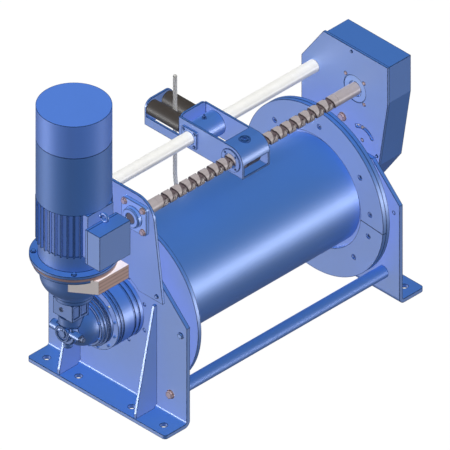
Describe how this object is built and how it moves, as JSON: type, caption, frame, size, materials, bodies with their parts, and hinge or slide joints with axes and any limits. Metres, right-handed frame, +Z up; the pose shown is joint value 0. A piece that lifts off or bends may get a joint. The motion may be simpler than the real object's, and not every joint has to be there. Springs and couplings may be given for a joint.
{
  "type": "electric rope winch with level wind",
  "caption": "Frame-mounted electric rope winch: flanged drum, planetary bevel gearbox with upright motor, chain-driven self-reversing screw and roller carriage.",
  "frame": {"origin": "centre of the foot bolt pattern, on the undersides of the feet", "axes": "+X along the drum from the motor to the chain case, +Y from the level-wind screw to the rope rollers, +Z up"},
  "size_m": [1.485, 0.65, 1.255],
  "materials": {
    "blue_paint": "satin blue enamel",
    "deep_blue_paint": "darker satin blue enamel",
    "bright_blue_paint": "lighter satin blue enamel",
    "zinc_bolts": "zinc plated",
    "ground_steel": "ground and polished",
    "plated_steel": "turned, blue painted",
    "screw_steel": "hardened, brownish",
    "roller_black": "matt black",
    "bronze": "machined bronze",
    "tan_paint": "flat peach primer",
    "chain_steel": "oiled steel",
    "rope_steel": "galvanised wire rope"
  },
  "bodies": {
    "frame": {"near_frame_plate": "blue_paint", "far_frame_plate": "blue_paint", "foot_gussets": "blue_paint", "tie_rods": "plated_steel", "tie_rod_bolts": "zinc_bolts", "plate_screws": "zinc_bolts", "tower_plate": "blue_paint", "tower_bolts": "zinc_bolts", "guide_rod": "ground_steel", "guide_rod_bolts": "zinc_bolts", "screw_bearing_near": "bright_blue_paint", "screw_bearing_far": "bright_blue_paint", "bearing_bolts": "zinc_bolts", "chain_case_plate": "blue_paint", "chain_case_cover": "deep_blue_paint", "case_screws": "zinc_bolts", "drum_bearing_far": "bright_blue_paint", "drum_mount_bolts": "zinc_bolts", "gearbox_barrel": "blue_paint", "gearbox_stage": "deep_blue_paint", "gearbox_bolts": "zinc_bolts", "bevel_housing": "blue_paint", "gearbox_plugs": "ground_steel", "input_bell": "blue_paint", "adapter_plate": "tan_paint", "motor_flange_shield": "blue_paint", "motor_stator": "blue_paint", "motor_fan_cowl": "deep_blue_paint", "motor_brake_cap": "bright_blue_paint", "terminal_box": "blue_paint", "terminal_box_lid": "bright_blue_paint", "lifting_eye": "blue_paint", "motor_flange_bolts": "zinc_bolts", "tensioner_arm": "screw_steel", "idler_axle": "zinc_bolts", "chain": "chain_steel"},
    "drum": {"drum_shell": "blue_paint", "drum_flange_near": "blue_paint", "drum_flange_far": "blue_paint", "ring_half_upper": "blue_paint", "ring_half_lower": "blue_paint", "ring_bolts": "zinc_bolts", "drum_shaft": "screw_steel", "drum_sprocket": "screw_steel", "drive_hub": "screw_steel"},
    "screw": {"level_wind_screw": "screw_steel", "screw_sprocket": "screw_steel"},
    "carriage": {"carriage_frame": "blue_paint", "rod_bush_housing": "blue_paint", "rod_bushes": "blue_paint", "follower_nut": "bronze", "follower_tongue": "ground_steel", "follower_cap": "deep_blue_paint", "carriage_screws": "zinc_bolts", "roller_bracket": "blue_paint", "roller_pins": "zinc_bolts", "rope": "rope_steel"},
    "roller_near": {"roller_near": "roller_black"},
    "roller_far": {"roller_far": "roller_black"},
    "idler": {"idler_sprocket": "screw_steel"}
  },
  "joints": [
    {"name": "drum_spin", "type": "hinge", "parent": "frame", "child": "drum", "pos_m": [0, 0, 0.35], "axis": [1, 0, 0], "range_deg": [-9120, 9120]},
    {"name": "screw_spin", "type": "hinge", "parent": "frame", "child": "screw", "pos_m": [0, -0.1, 0.76], "axis": [1, 0, 0], "range_deg": [-3420, 3420]},
    {"name": "carriage_slide", "type": "slide", "parent": "frame", "child": "carriage", "axis": [1, 0, 0], "range_m": [-0.4085, 0.4085]},
    {"name": "idler_spin", "type": "hinge", "parent": "frame", "child": "idler", "pos_m": [0.5545, -0.043, 0.619], "axis": [1, 0, 0], "range_deg": [-5472, 5472]},
    {"name": "roller_near_spin", "type": "hinge", "parent": "carriage", "child": "roller_near", "pos_m": [-0.0468, 0.2225, 0.764], "axis": [0, 1, 0], "continuous": true},
    {"name": "roller_far_spin", "type": "hinge", "parent": "carriage", "child": "roller_far", "pos_m": [0.0258, 0.2225, 0.764], "axis": [0, 1, 0], "continuous": true}
  ],
  "couplings": [
    {"joint": "screw_spin", "follows": "drum_spin", "ratio": 0.375},
    {"joint": "idler_spin", "follows": "drum_spin", "ratio": 0.6},
    {"joint": "carriage_slide", "follows": "drum_spin", "m_per_rad": 0.0025664}
  ]
}
